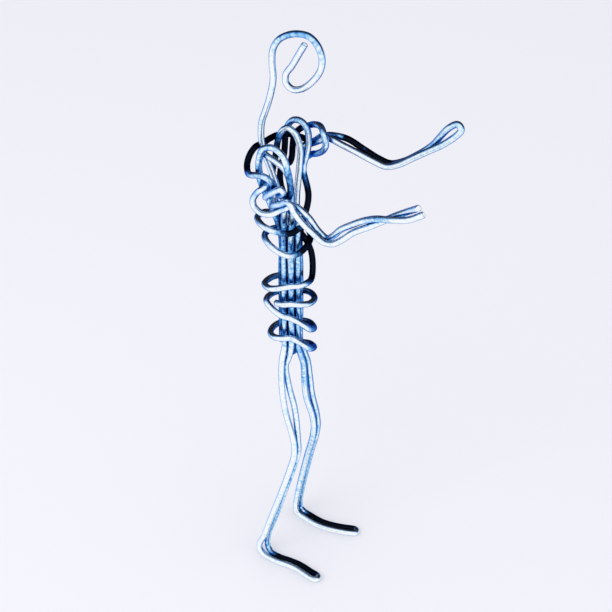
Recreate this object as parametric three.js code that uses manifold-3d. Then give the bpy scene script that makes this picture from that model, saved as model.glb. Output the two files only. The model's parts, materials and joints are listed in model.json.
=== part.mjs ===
// Wire figure: a standing person with both arms held forward, bent by hand from soft round wire.
//
// Millimetres, +X the way the figure faces, +Y its left, +Z up. The figure is laid out about the
// middle of its torso on the floor, and moved at the end so that its origin lies under its box.
//
// Six lengths of wire make it: the head and spine, the body (legs, torso and shoulder loops in one),
// the left arm with the collar, the right arm, the chest binding and the waist binding. Soft wire
// bends at the neck, shoulders, elbows, hips, knees and ankles, so each wire is parted there into a
// rounded end and a square end, a hair apart, which lets a limb turn about that bend.

import * as THREE from "three";
import Module from "manifold-3d";
import { mergeVertices } from "three/addons/utils/BufferGeometryUtils.js";

const wasm = await Module();
wasm.setup();

// The wire
const WIRE_DIAMETER = 1.6;
const STRAND_GAP = 0.3; // between strands that lie side by side
const JOINT_GAP = 0.3; // between the two ends at a bend
const BALL_INSET = 0.03; // how far the rounded end lies inside the wire's faces
const SOLE_FLAT = 0.16; // depth of the flat that stands on the floor
const HEEL_LIFT = 0.25; // the sole's rise where it turns up into the heel
const WIRE_SIDES = 8;
const STEPS_PER_SPAN = 2; // sections between two points of a route
const MERGE_DISTANCE = 1e-4; // corners closer than this are one
const SEARCH_STEP = 1e-4; // share of a route, in the search for where an end is cut
const GAP_SAMPLES = 400; // points along a winding where its gap to itself is measured

// Heights of the bends over the floor, and lengths of the torso's parts above the hips
const ANKLE_HEIGHT = 7;
const RIGHT_KNEE_HEIGHT = 37.4;
const LEFT_KNEE_HEIGHT = 39.2;
const HIP_HEIGHT = 62;
const CROTCH_RISE = 7.5; // hip bends up to the foot of the torso
const TORSO_LENGTH = 34.5; // the straight bundle of strands
const NECK_RISE = 27.5; // top of the bundle up to the neck bend
const RIGHT_ARM_RISE = 15.5;
const LEFT_ARM_RISE = 28.2;
const RIGHT_ARM_ASIDE = -9.5; // the arms' distance to the left of the torso's axis
const LEFT_ARM_ASIDE = 7.1;
const BUNDLE_TURN = -30; // degrees that the strands of the torso are turned about its axis
const BINDING_TURN = 36; // degrees from forward to the loose end of each binding turn

const RADIUS = WIRE_DIAMETER / 2;
const PITCH = WIRE_DIAMETER + STRAND_GAP;
const RING_STRANDS = 8; // strands of the torso, in a ring round the spine
const RING_RADIUS = PITCH / (2 * Math.sin(Math.PI / RING_STRANDS));
const SNUG_RADIUS = RING_RADIUS + PITCH; // a binding turn drawn tight on the ring
const BALL_RADIUS = RADIUS * Math.cos(Math.PI / WIRE_SIDES) - BALL_INSET;
const SOLE_LEVEL = RADIUS - SOLE_FLAT;
const BUNDLE_BOTTOM = HIP_HEIGHT + CROTCH_RISE;
const BUNDLE_TOP = BUNDLE_BOTTOM + TORSO_LENGTH;

const STEEL = { color: 0xa9bcd2, roughness: 0.34, metalness: 1 };
const DARK_STEEL = { color: 0x6f86a6, roughness: 0.38, metalness: 1 };

const radians = THREE.MathUtils.degToRad;
const point = (x, y, z) => new THREE.Vector3(x, y, z);

// Points written as forward, left and height over a level
function over(level, rows) {
  return rows.map(([x, y, z]) => point(x, y, level + z));
}

// A pair of strands at one station of a limb: its middle, their slack over lying side by side, and
// the direction across the pair, turned from forward about the vertical (90 is square across)
function station(x, y, z, slack = 0, turn = 90) {
  return { x, y, z, spread: PITCH + slack, turn };
}

const OUTER = 1;
const INNER = -1;
const RIGHT = -1;
const LEFT = 1;

function strandPoint(at, side, strand) {
  const reach = (side * strand * at.spread) / 2;
  const turn = radians(at.turn);
  return point(at.x + reach * Math.cos(turn), at.y + reach * Math.sin(turn), at.z);
}

function strandPoints(stations, side, strand) {
  return stations.map((at) => strandPoint(at, side, strand));
}

// The round end of a fold, from the first strand to the second, bulging along the direction given
function fold(middle, across, along) {
  return [45, 90, 135].map((angle) => {
    const tip = middle.clone().addScaledVector(across, Math.cos(radians(angle)));
    return tip.addScaledVector(along, Math.sin(radians(angle)));
  });
}

// A pair of neighbours in the ring of the torso; quarter is -45, 45, 135 or -135 degrees from forward.
// Its inner strand lies next to the other side's, in front and behind
function ringPair(quarter, z) {
  const middle = radians(quarter + BUNDLE_TURN);
  const reach = RING_RADIUS * Math.cos(Math.PI / RING_STRANDS);
  const lean = Math.abs(quarter) > 90 ? quarter - 180 * Math.sign(quarter) : quarter;
  return station(reach * Math.cos(middle), reach * Math.sin(middle), z, 0, 90 + lean + BUNDLE_TURN);
}

// Routes with named marks where a wire is parted
class Route {
  constructor() {
    this.points = [];
    this.marks = new Map();
  }

  add(points) {
    this.points.push(...points);
    return this;
  }

  mark(name) {
    this.marks.set(name, this.points.length - 1);
    return this;
  }

  addMarked(points, marks) {
    for (const [index, name] of marks) {
      this.marks.set(name, this.points.length + index);
    }
    return this.add(points);
  }

  bend(name) {
    return this.points[this.marks.get(name)];
  }

  wire() {
    this.curve ??= new THREE.CatmullRomCurve3(this.points);
    return this.curve;
  }
}

// The stretch of a wire between two places on it, stepped evenly from point to point of its route
class Stretch extends THREE.Curve {
  constructor(wire, from, to) {
    super();
    this.wire = wire;
    this.from = from;
    this.to = to;
  }

  getPoint(t, target) {
    return this.wire.getPoint(THREE.MathUtils.lerp(this.from, this.to, t), target);
  }

  getUtoTmapping(u) {
    return u;
  }
}

// Solids
function toSolid(geometry) {
  geometry.deleteAttribute("normal");
  geometry.deleteAttribute("uv");
  const merged = mergeVertices(geometry, MERGE_DISTANCE);
  const mesh = new wasm.Mesh({
    numProp: 3,
    vertProperties: new Float32Array(merged.attributes.position.array),
    triVerts: new Uint32Array(merged.index.array),
  });
  return new wasm.Manifold(mesh);
}

function toGeometry(solid) {
  const mesh = solid.getMesh();
  const geometry = new THREE.BufferGeometry();
  geometry.setAttribute("position", new THREE.BufferAttribute(new Float32Array(mesh.vertProperties), 3));
  geometry.setIndex(new THREE.BufferAttribute(new Uint32Array(mesh.triVerts), 1));
  geometry.computeVertexNormals();
  return geometry;
}

const wireSection = new THREE.Shape(
  Array.from({ length: WIRE_SIDES }, (_, i) => {
    const angle = (2 * Math.PI * (i + 0.5)) / WIRE_SIDES;
    return new THREE.Vector2(RADIUS * Math.cos(angle), RADIUS * Math.sin(angle));
  }),
);

function tube(wire, from, to) {
  const spans = (to - from) * (wire.points.length - 1);
  return new THREE.ExtrudeGeometry(wireSection, {
    steps: Math.max(1, Math.round(spans * STEPS_PER_SPAN)),
    extrudePath: new Stretch(wire, from, to),
    bevelEnabled: false,
  });
}

// The place on a wire, away from a bend, where a square end clears the rounded one
function clearOf(wire, from, towards) {
  const bend = wire.getPoint(from);
  const step = Math.sign(towards - from) * SEARCH_STEP;
  let place = from;
  while (wire.getPoint(place).distanceTo(bend) < RADIUS + JOINT_GAP) {
    place += step;
  }
  return place;
}

// One length of wire between two marks of a route, whose ends are "cut", "round" or "square"
function wirePiece(route, fromMark, toMark, ends) {
  const wire = route.wire();
  const last = wire.points.length - 1;
  const start = route.marks.get(fromMark) / last;
  const finish = route.marks.get(toMark) / last;
  const from = ends[0] === "square" ? clearOf(wire, start, finish) : start;
  const to = ends[1] === "square" ? clearOf(wire, finish, start) : finish;
  let solid = toSolid(tube(wire, from, to));
  for (const [end, place] of [[ends[0], start], [ends[1], finish]]) {
    if (end === "round") {
      const ball = new THREE.SphereGeometry(BALL_RADIUS, WIRE_SIDES, WIRE_SIDES - 2);
      const centre = wire.getPoint(place);
      ball.translate(centre.x, centre.y, centre.z);
      solid = solid.add(toSolid(ball));
    }
  }
  return solid;
}

// Cuts a foot flat where it stands on the floor
function flatSole(solid) {
  const { min, max } = solid.boundingBox();
  const [length, width] = [0, 1].map((i) => max[i] - min[i] + WIRE_DIAMETER);
  const block = new THREE.BoxGeometry(length, width, WIRE_DIAMETER);
  block.translate((min[0] + max[0]) / 2, (min[1] + max[1]) / 2, -RADIUS);
  return solid.subtract(toSolid(block));
}

// Legs, from the hip bend down to the toe: the bends are the first, knee and ankle stations
const RIGHT_LEG = [
  station(-0.5, -2.9, HIP_HEIGHT),
  station(0.6, -3.6, RIGHT_KNEE_HEIGHT + 19, 0.3, 70),
  station(2.7, -4.4, RIGHT_KNEE_HEIGHT + 12.6, 0.8, 52),
  station(5.6, -5.7, RIGHT_KNEE_HEIGHT + 4.1),
  station(6.1, -6.2, RIGHT_KNEE_HEIGHT),
  station(5.3, -6.9, RIGHT_KNEE_HEIGHT - 4.6),
  station(3.3, -8.2, RIGHT_KNEE_HEIGHT - 13),
  station(0.1, -10.1, ANKLE_HEIGHT + 4.8, 0.2, 82),
  station(-1.2, -10.8, ANKLE_HEIGHT, 0.4),
  station(-2.0, -11.0, ANKLE_HEIGHT - 2.9, 0.5, 66),
  station(-1.9, -11.2, ANKLE_HEIGHT - 4.9, 0.6, 55),
  station(-0.6, -11.6, SOLE_LEVEL + HEEL_LIFT, 0.4, 66),
  station(1.5, -11.9, SOLE_LEVEL, 0, 88),
  station(4.5, -11.8, SOLE_LEVEL, 0, 100),
  station(7.4, -11.3, SOLE_LEVEL, 0, 98),
  station(10.6, -11.1, SOLE_LEVEL, 0, 88),
  station(14, -11.5, SOLE_LEVEL, 0, 82),
  station(16.6, -11.8, SOLE_LEVEL, 0, 84),
];
const LEFT_LEG = [
  station(2.9, 2.6, HIP_HEIGHT),
  station(3.1, 3.1, LEFT_KNEE_HEIGHT + 17, 0.2, 80),
  station(3.4, 3.6, LEFT_KNEE_HEIGHT + 11, 0.2, 75),
  station(4.5, 4.7, LEFT_KNEE_HEIGHT + 4),
  station(4.7, 5.0, LEFT_KNEE_HEIGHT),
  station(3.9, 5.4, LEFT_KNEE_HEIGHT - 4.4),
  station(1.2, 6.5, LEFT_KNEE_HEIGHT - 13.2),
  station(-2.2, 7.5, ANKLE_HEIGHT + 5.5),
  station(-3.4, 7.9, ANKLE_HEIGHT),
  station(-3.9, 8.1, ANKLE_HEIGHT - 3.2),
  station(-3.6, 8.1, ANKLE_HEIGHT - 5.1),
  station(-2.3, 8.0, SOLE_LEVEL + HEEL_LIFT),
  station(0, 7.9, SOLE_LEVEL),
  station(5, 7.6, SOLE_LEVEL, 0, 95),
  station(10, 8.8, SOLE_LEVEL, 0, 106),
  station(14.3, 10.6, SOLE_LEVEL, 0, 113),
];
const HIP = 0;
const KNEE = 4;
const ANKLE = 8;

function toeFold(toe, side) {
  const across = strandPoint(toe, side, OUTER).sub(point(toe.x, toe.y, toe.z));
  const along = across.clone().cross(point(0, 0, side));
  return fold(point(toe.x, toe.y, toe.z), across, along);
}

// Shoulder loops: each strand lies in a plane at a distance to the side of the torso's axis, and runs
// up in front, over the top and down behind, as forward and height over the top of the bundle
const SHOULDERS = {
  [RIGHT]: {
    chestFront: station(2.7, -4.6, BUNDLE_TOP + 11, 0.35, 70),
    chestBack: station(-3.0, -4.0, BUNDLE_TOP + 11, 0, 97),
    [OUTER]: {
      aside: -7.9,
      loop: [
        [5.9, 19.5], [4.8, 25.3], [3.5, 28.3], [0.5, 29.6],
        [-2.5, 28.3], [-3.8, 25.3], [-3.8, 19.5],
      ],
    },
    [INNER]: {
      aside: -6.0,
      loop: [
        [4.5, 18.5], [3.8, 21.6], [2.4, 23.5], [0.4, 24.4],
        [-2, 25.1], [-4.2, 25.5], [-5.2, 23.6], [-5.2, 19.5],
      ],
    },
  },
  [LEFT]: {
    chestFront: station(2.0, 2.6, BUNDLE_TOP + 11, 1.1, 35),
    chestBack: station(-7.0, 3.3, BUNDLE_TOP + 12, 0.2, 55),
    [OUTER]: {
      aside: 5.95,
      loop: [
        [-0.2, 16.5], [0.7, 21], [1.5, 25.2], [1, 28.8], [-0.8, 30.4],
        [-3, 30.2], [-4.8, 28.4], [-5.8, 25.2], [-6.3, 19.5],
      ],
    },
    [INNER]: {
      aside: 4.05,
      loop: [
        [-0.1, 17.8], [0.2, 22.6], [-0.4, 25.9], [-1.6, 27.7],
        [-3.6, 28.5], [-5.5, 27], [-6.8, 24], [-7.6, 19.5],
      ],
    },
  },
};

// Torso and shoulders: one strand of a side, up the front and down the back
function shoulderStrand(side, strand) {
  const { chestFront, chestBack, [strand]: shoulder } = SHOULDERS[side];
  const front = side * 45;
  const back = side * 135;
  const up = [
    ringPair(front, BUNDLE_BOTTOM),
    ringPair(front, BUNDLE_BOTTOM + TORSO_LENGTH / 3),
    ringPair(front, BUNDLE_TOP - TORSO_LENGTH / 3),
    ringPair(front, BUNDLE_TOP),
    chestFront,
  ];
  const down = [
    chestBack,
    ringPair(back, BUNDLE_TOP),
    ringPair(back, BUNDLE_TOP - TORSO_LENGTH / 3),
    ringPair(back, BUNDLE_BOTTOM + TORSO_LENGTH / 3),
    ringPair(back, BUNDLE_BOTTOM),
  ];
  return [
    ...strandPoints(up, side, strand),
    ...shoulder.loop.map(([x, rise]) => point(x, shoulder.aside, BUNDLE_TOP + rise)),
    ...strandPoints(down, side, strand),
  ];
}

// Between the foot of the torso and the hip bend the pair turns until it lies square across
function hipStrand(side, strand) {
  const right = side === RIGHT;
  const foot = ringPair(right ? -45 : 45, BUNDLE_BOTTOM);
  const hip = (right ? RIGHT_LEG : LEFT_LEG)[HIP];
  const half = (name) => (foot[name] + hip[name]) / 2;
  return strandPoint(station(half("x"), half("y"), half("z"), 0, half("turn")), side, strand);
}

// The body wire, from its end at the waist behind the right side to the one behind the left
const CROTCH = { forward: -1.0, aside: 1.7, slack: 0.3, drop: 5.1, turn: 60 };

function bodyRoute() {
  const route = new Route();
  const legs = { [RIGHT]: RIGHT_LEG, [LEFT]: LEFT_LEG };
  const names = { [RIGHT]: "right", [LEFT]: "left" };
  const legMarks = (side, strand) => {
    return [["hip", HIP], ["knee", KNEE], ["ankle", ANKLE]].map(([bend, index]) => {
      return [index, `${names[side]} ${bend} ${strand === OUTER ? "outer" : "inner"}`];
    });
  };
  const down = (side, strand) => {
    const points = strandPoints(legs[side], side, strand);
    route.add([hipStrand(side, strand)]).addMarked(points, legMarks(side, strand));
  };
  const up = (side, strand) => {
    const points = strandPoints(legs[side], side, strand).reverse();
    const marks = legMarks(side, strand).map(([index, name]) => [points.length - 1 - index, name]);
    route.addMarked(points, marks).add([hipStrand(side, strand)]);
  };
  const toe = (side) => toeFold(legs[side].at(-1), side);
  const half = PITCH / 2 + CROTCH.slack;
  const turn = radians(CROTCH.turn);
  const across = point(half * Math.cos(turn), half * Math.sin(turn), 0);
  const eye = point(CROTCH.forward, CROTCH.aside, BUNDLE_BOTTOM - CROTCH.drop + half);
  const crotch = [
    eye.clone().sub(across),
    ...fold(eye, across.clone().negate(), point(0, 0, -half)),
    eye.clone().add(across),
  ];

  route.add(shoulderStrand(RIGHT, OUTER).reverse());
  route.marks.set("right end", 0);
  down(RIGHT, OUTER);
  route.add(toe(RIGHT));
  up(RIGHT, INNER);
  route.add(shoulderStrand(RIGHT, INNER)).add(crotch).add(shoulderStrand(LEFT, INNER).reverse());
  down(LEFT, INNER);
  route.add(toe(LEFT).reverse());
  up(LEFT, OUTER);
  route.add(shoulderStrand(LEFT, OUTER)).mark("left end");
  return route;
}

// Head and spine: up the middle of the torso, back to the neck, then the curl of the head
function headRoute() {
  const route = new Route();
  route.add([point(0, 0, BUNDLE_BOTTOM - 2)]).mark("spine end");
  route.add([
    point(0, 0, BUNDLE_BOTTOM + TORSO_LENGTH / 3),
    point(0, 0, BUNDLE_TOP - TORSO_LENGTH / 3),
    ...over(BUNDLE_TOP, [
      [0, 0, -3],
      [-0.3, 0.2, 2],
      [-1.4, 0.5, 5],
      [-2.9, 0.6, 7.9],
      [-5.0, 0.8, 12.5],
      [-6.6, 0.3, 17.5],
      [-7.5, -1.0, 22.5],
    ]),
  ]);
  const neck = BUNDLE_TOP + NECK_RISE;
  route.add(over(neck, [[-7.8, -1.8, 0]])).mark("neck");
  route.add(
    over(neck, [
      [-7.3, -2, 4.4],
      [-6.1, -2, 7.9],
      [-4.6, -2, 12.6],
      [-3.6, -2, 17.8],
      [-3.9, -2, 22],
      [-3.6, -2, 25.6],
      [-2.0, -2, 28.6],
      [0.7, -2, 30.8],
      [4.1, -2, 32.2],
      [7.3, -2, 32.4],
      [9.7, -2, 30.9],
      [11.1, -2, 27.9],
      [10.8, -2, 24.6],
      [8.5, -2, 20.8],
      [5.0, -2, 17.5],
      [2.2, -2, 16.6],
      [0.4, -2, 17.7],
      [0.3, -2, 20],
      [2.2, -2, 23],
      [4.3, -2, 26.8],
      [6.1, -2, 30.0],
    ]),
  ).mark("head end");
  return route;
}

// Arms: stations of the pair, whose roll turns the pair about the arm (0 is square across)
function armStation(x, y, z, slack = 0, roll = 0) {
  return { x, y, z, spread: PITCH + slack, roll };
}

function armPoints(stations, sign) {
  return stations.map((at, i) => {
    const before = stations[Math.max(0, i - 1)];
    const after = stations[Math.min(stations.length - 1, i + 1)];
    const upright = point(before.z - after.z, 0, after.x - before.x).normalize();
    const roll = radians(at.roll);
    const across = point(0, Math.cos(roll), 0).addScaledVector(upright, Math.sin(roll));
    return point(at.x, at.y, at.z).addScaledVector(across, (sign * at.spread) / 2);
  });
}

const RIGHT_ARM_LEVEL = BUNDLE_TOP + RIGHT_ARM_RISE;
const LEFT_ARM_LEVEL = BUNDLE_TOP + LEFT_ARM_RISE;
const RIGHT_ARM = [
  armStation(8.6, RIGHT_ARM_ASIDE, RIGHT_ARM_LEVEL),
  armStation(11.8, RIGHT_ARM_ASIDE, RIGHT_ARM_LEVEL - 2.2, 0.3, 24),
  armStation(14.8, RIGHT_ARM_ASIDE, RIGHT_ARM_LEVEL - 4.4),
  armStation(17.6, RIGHT_ARM_ASIDE, RIGHT_ARM_LEVEL - 5.7),
  armStation(20.2, RIGHT_ARM_ASIDE, RIGHT_ARM_LEVEL - 4.6, 0.6, 36),
  armStation(22.6, RIGHT_ARM_ASIDE, RIGHT_ARM_LEVEL - 2.3, 0.7, 58),
  armStation(26, RIGHT_ARM_ASIDE, RIGHT_ARM_LEVEL + 0.8, 0, 70),
  armStation(30, RIGHT_ARM_ASIDE, RIGHT_ARM_LEVEL + 3.7, 0, 95),
  armStation(34, RIGHT_ARM_ASIDE, RIGHT_ARM_LEVEL + 6.3, 0.2, 140),
  armStation(38, RIGHT_ARM_ASIDE, RIGHT_ARM_LEVEL + 8.4, 0.2, 185),
  armStation(42, RIGHT_ARM_ASIDE, RIGHT_ARM_LEVEL + 10.5, 0.2, 230),
  armStation(45.6, RIGHT_ARM_ASIDE, RIGHT_ARM_LEVEL + 13, 0.2, 285),
];
const LEFT_ARM = [
  armStation(7.5, LEFT_ARM_ASIDE, LEFT_ARM_LEVEL),
  armStation(12, LEFT_ARM_ASIDE, LEFT_ARM_LEVEL, 0.3, 25),
  armStation(17, LEFT_ARM_ASIDE, LEFT_ARM_LEVEL - 1, 0.1, 10),
  armStation(21.4, LEFT_ARM_ASIDE, LEFT_ARM_LEVEL - 1.9),
  armStation(25, LEFT_ARM_ASIDE, LEFT_ARM_LEVEL - 2.1),
  armStation(28.6, LEFT_ARM_ASIDE, LEFT_ARM_LEVEL - 0.3),
  armStation(33, LEFT_ARM_ASIDE, LEFT_ARM_LEVEL + 3.2),
  armStation(37.3, LEFT_ARM_ASIDE, LEFT_ARM_LEVEL + 7, 0, 20),
  armStation(39.9, LEFT_ARM_ASIDE, LEFT_ARM_LEVEL + 9.7, 0.3, 55),
  armStation(42.6, LEFT_ARM_ASIDE, LEFT_ARM_LEVEL + 12.8, 0.7, 80),
  armStation(44.4, LEFT_ARM_ASIDE, LEFT_ARM_LEVEL + 14.7, 0.3, 85),
];
const RIGHT_ELBOW = 3;
const LEFT_ELBOW = 4;
const HAND_TIP = 1.06; // how far the left hand's fold reaches past its last station

// The left arm's wire: a hook on the right shoulder, the collar behind the neck, the left arm out to the
// hand and back, and a tail that turns round the root of the arm and hangs behind the left loop
function leftArmRoute() {
  const route = new Route();
  route.add(over(RIGHT_ARM_LEVEL, [[-1.2, -9.2, -0.3]])).mark("hook end");
  route.add(
    over(RIGHT_ARM_LEVEL, [
      [0.3, -9.8, 1.3],
      [1.9, -10.2, 2.7],
      [3.5, -10.4, 4.1],
      [4.8, -10.5, 4.8],
      [5.1, -9.9, 3.8],
      [4.2, -9.1, 2.3],
      [2.9, -8.3, 1.3],
      [1.6, -7.5, 1.1],
      [1.0, -8.1, 2.7],
      [1.1, -9.2, 4.6],
      [0.5, -10.0, 6.1],
      [-0.7, -10.2, 6.5],
      [-2.6, -10.1, 6.2],
      [-5.0, -9.8, 5.3],
      [-7.6, -7.8, 4.2],
    ]),
  );
  route.add(
    over(BUNDLE_TOP, [
      [-9.2, -6.0, 20.6],
      [-9.9, -3.9, 22.2],
      [-9.9, -1.5, 23.4],
      [-9.4, 1.2, 23.5],
      [-9.8, 4.5, 23.1],
      [-9.4, 7.5, 22.9],
      [-7.5, 10.0, 22.6],
      [-4.2, 10.8, 22.4],
      [-0.9, 10.5, 22.5],
      [3.2, 9.4, 25.9],
    ]),
  );
  const outer = armPoints(LEFT_ARM, 1);
  route.addMarked(outer, [[0, "shoulder"], [LEFT_ELBOW, "elbow"]]);
  const hand = LEFT_ARM.at(-1);
  const middle = point(hand.x, hand.y, hand.z);
  const across = outer.at(-1).clone().sub(middle);
  route.add(fold(middle, across, point(1, 0, 1).setLength(HAND_TIP)));
  const inner = armPoints(LEFT_ARM, -1).reverse();
  route.addMarked(inner, [
    [inner.length - 1 - LEFT_ELBOW, "elbow inner"],
    [inner.length - 1, "shoulder inner"],
  ]);
  route.add(
    over(LEFT_ARM_LEVEL, [
      [4.9, 6.6, -1.6],
      [2.6, 7.7, -3.4],
      [0.7, 8.3, -4.8],
      [-1.4, 8.5, -6.0],
      [-2.9, 8.6, -7.3],
      [-2.6, 8.8, -9.0],
      [-1.2, 8.8, -9.4],
      [0.6, 8.4, -8.0],
      [3.4, 7.0, -6.2],
      [6.6, 5.2, -3.3],
      [8.2, 4.0, -0.4],
      [7.5, 4.1, 2.0],
      [5.5, 5.6, 2.9],
      [2.2, 7.4, 1.7],
      [-0.6, 8.5, -0.1],
      [-3.2, 8.8, -1.9],
      [-4.9, 8.5, -4.2],
      [-5.3, 8.2, -7.7],
      [-5.5, 8.1, -10.8],
      [-6.3, 8.1, -12.8],
      [-7.7, 8.1, -13.3],
    ]),
  ).mark("tail end");
  return route;
}

// The right arm's wire: from the hand along the outer strand, hooked on the right shoulder's strands with
// one loose turn behind, and back along the inner strand
function rightArmRoute() {
  const route = new Route();
  const outer = armPoints(RIGHT_ARM, -1).reverse();
  route.addMarked(outer, [
    [0, "outer hand"],
    [outer.length - 1 - RIGHT_ELBOW, "outer elbow"],
    [outer.length - 1, "outer shoulder"],
  ]);
  route.add(
    over(RIGHT_ARM_LEVEL, [
      [7.9, -10.4, 1.3],
      [6.3, -10.0, 1.5],
      [4.0, -9.3, -0.2],
      [1.8, -8.8, -1.6],
      [0.3, -8.0, -2.8],
      [-0.7, -6.6, -2.9],
      [-1.0, -5.3, -1.8],
      [-1.1, -5.0, 0.2],
      [-1.1, -5.7, 2.0],
      [-1.1, -7.2, 2.9],
      [-1.3, -8.7, 2.4],
      [-2.8, -9.0, 1.2],
      [-5.0, -8.2, -1.3],
      [-6.1, -7.9, -3.6],
      [-5.6, -8.1, -5.0],
      [-3.8, -8.5, -5.7],
      [-1.9, -8.7, -5.7],
      [0.5, -8.5, -4.9],
      [2.3, -8.0, -3.6],
      [4.8, -8.3, -1.7],
      [6.6, -8.3, -0.2],
    ]),
  );
  const inner = armPoints(RIGHT_ARM, 1);
  route.addMarked(inner, [
    [0, "inner shoulder"],
    [RIGHT_ELBOW, "inner elbow"],
    [inner.length - 1, "inner hand"],
  ]);
  return route;
}

// Bindings: each turn runs round the torso, counted in degrees, with its slack over a snug turn and
// its height; a loop fills in the points between these
const BINDING_STEP = 30;

function windingRoute(level, rows) {
  const route = new Route();
  const first = rows[0][0];
  const last = rows.at(-1)[0];
  for (let angle = first; angle <= last; angle += BINDING_STEP) {
    const next = Math.max(1, rows.findIndex(([at]) => at >= angle));
    const [fromAngle, fromSlack, fromHeight] = rows[next - 1];
    const [toAngle, toSlack, toHeight] = rows[next];
    const share = THREE.MathUtils.smoothstep(angle, fromAngle, toAngle);
    const reach = SNUG_RADIUS + THREE.MathUtils.lerp(fromSlack, toSlack, share);
    const height = level + THREE.MathUtils.lerp(fromHeight, toHeight, share);
    const turn = radians(angle + BINDING_TURN);
    route.add([point(reach * Math.cos(turn), reach * Math.sin(turn), height)]);
  }
  route.marks.set("start", 0);
  return route.mark("end");
}

const chestBinding = windingRoute(BUNDLE_TOP, [
  [-240, 0.4, -15.6],
  [-180, 2.6, -15.6],
  [-90, 0, -13.6],
  [0, 1.2, -13.4],
  [30, 1.8, -7.5],
  [60, 0.5, -2.2],
  [90, 0.5, -1.0],
  [180, 2.4, -0.6],
  [270, 0.6, -3.6],
  [360, 0.8, -1.0],
  [450, 1.1, 2.2],
  [540, 4.2, 5.0],
  [630, 1.4, 3.8],
  [660, 1.0, 5.0],
]);
const waistBinding = windingRoute(BUNDLE_BOTTOM, [
  [-150, 0.4, 14.4],
  [-90, 0, 15.2],
  [0, 1.9, 14.2],
  [90, 0.2, 13.6],
  [180, 2.2, 13.4],
  [210, 1.0, 12.2],
  [270, 0, 10.6],
  [360, 1.8, 4.4],
  [450, 0.2, 3.6],
  [540, 1.2, 3.0],
  [630, 0, 4.1],
  [720, 1.8, -2.0],
  [780, 0.9, -3.6],
]);

// Least gap that a winding leaves to itself, between points more than a third of a turn apart along it
function leastGapToItself(route) {
  const wire = route.wire();
  const points = wire.getSpacedPoints(GAP_SAMPLES);
  const thirdOfTurn = (2 * Math.PI * SNUG_RADIUS) / 3;
  const apart = Math.ceil((thirdOfTurn * GAP_SAMPLES) / wire.getLength());
  let least = Infinity;
  for (let i = 0; i < points.length; i += 1) {
    for (let j = i + apart; j < points.length; j += 1) {
      least = Math.min(least, points[i].distanceTo(points[j]));
    }
  }
  return least - WIRE_DIAMETER;
}

// The figure: groups stand at the bends, so that turning a group bends the limb there
const figure = new THREE.Group();
const bends = new Map([[figure, point(0, 0, 0)]]);

function limb(name, parent, bend) {
  const group = new THREE.Group();
  group.name = name;
  group.position.copy(bend).sub(bends.get(parent));
  bends.set(group, bend);
  parent.add(group);
  return group;
}

function add(group, name, solid, finish) {
  const geometry = toGeometry(solid);
  const bend = bends.get(group);
  geometry.translate(-bend.x, -bend.y, -bend.z);
  const mesh = new THREE.Mesh(geometry, new THREE.MeshStandardMaterial(finish));
  mesh.name = name;
  group.add(mesh);
}

const body = bodyRoute();
const head = headRoute();
const rightArmWire = rightArmRoute();
const leftArmWire = leftArmRoute();

// How a piece's two ends are finished, in the order that its wire runs
const cutEnds = ["cut", "cut"];
const roundEnds = ["round", "round"];
const squareEnds = ["square", "square"];
const cutThenRound = ["cut", "round"];
const roundThenCut = ["round", "cut"];
const cutThenSquare = ["cut", "square"];
const squareThenCut = ["square", "cut"];
const roundThenSquare = ["round", "square"];
const squareThenRound = ["square", "round"];

// Torso
add(figure, "right_outer_strand", wirePiece(body, "right end", "right hip outer", cutThenRound), STEEL);
add(figure, "body_inner_wire", wirePiece(body, "right hip inner", "left hip inner", roundEnds), STEEL);
add(figure, "left_outer_strand", wirePiece(body, "left hip outer", "left end", roundThenCut), STEEL);
add(figure, "spine_wire", wirePiece(head, "spine end", "neck", cutThenRound), STEEL);
add(figure, "collar_wire", wirePiece(leftArmWire, "hook end", "shoulder", cutThenRound), DARK_STEEL);
add(figure, "left_arm_tail", wirePiece(leftArmWire, "shoulder inner", "tail end", roundThenCut), STEEL);
add(figure, "right_arm_hook", wirePiece(rightArmWire, "outer shoulder", "inner shoulder", roundEnds), STEEL);
add(figure, "chest_binding", wirePiece(chestBinding, "start", "end", cutEnds), DARK_STEEL);
add(figure, "waist_binding", wirePiece(waistBinding, "start", "end", cutEnds), DARK_STEEL);

// Head
const neck = limb("neck", figure, head.bend("neck"));
add(neck, "head_wire", wirePiece(head, "neck", "head end", squareThenCut), STEEL);

// Middle of a bend between its two strands, on the line that both turn about
function between(first, second) {
  return first.clone().add(second).multiplyScalar(0.5);
}

// Arms
const bendOf = (wire, first, second) => between(wire.bend(first), wire.bend(second));
const rightShoulder = bendOf(rightArmWire, "outer shoulder", "inner shoulder");
const rightElbow = bendOf(rightArmWire, "outer elbow", "inner elbow");
const leftShoulder = bendOf(leftArmWire, "shoulder", "shoulder inner");
const leftElbow = bendOf(leftArmWire, "elbow", "elbow inner");
const rightArm = limb("right_shoulder", figure, rightShoulder);
const rightForearm = limb("right_elbow", rightArm, rightElbow);
const leftArm = limb("left_shoulder", figure, leftShoulder);
const leftForearm = limb("left_elbow", leftArm, leftElbow);
const rightPiece = (from, to, ends) => wirePiece(rightArmWire, from, to, ends);
const leftPiece = (from, to, ends) => wirePiece(leftArmWire, from, to, ends);
add(rightArm, "right_upper_arm_outer", rightPiece("outer elbow", "outer shoulder", roundThenSquare), STEEL);
add(rightArm, "right_upper_arm_inner", rightPiece("inner shoulder", "inner elbow", squareThenRound), STEEL);
add(rightForearm, "right_forearm_outer", rightPiece("outer hand", "outer elbow", cutThenSquare), STEEL);
add(rightForearm, "right_forearm_inner", rightPiece("inner elbow", "inner hand", squareThenCut), STEEL);
add(leftArm, "left_upper_arm_outer", leftPiece("shoulder", "elbow", squareThenRound), STEEL);
add(leftArm, "left_upper_arm_inner", leftPiece("elbow inner", "shoulder inner", roundThenSquare), STEEL);
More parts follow.
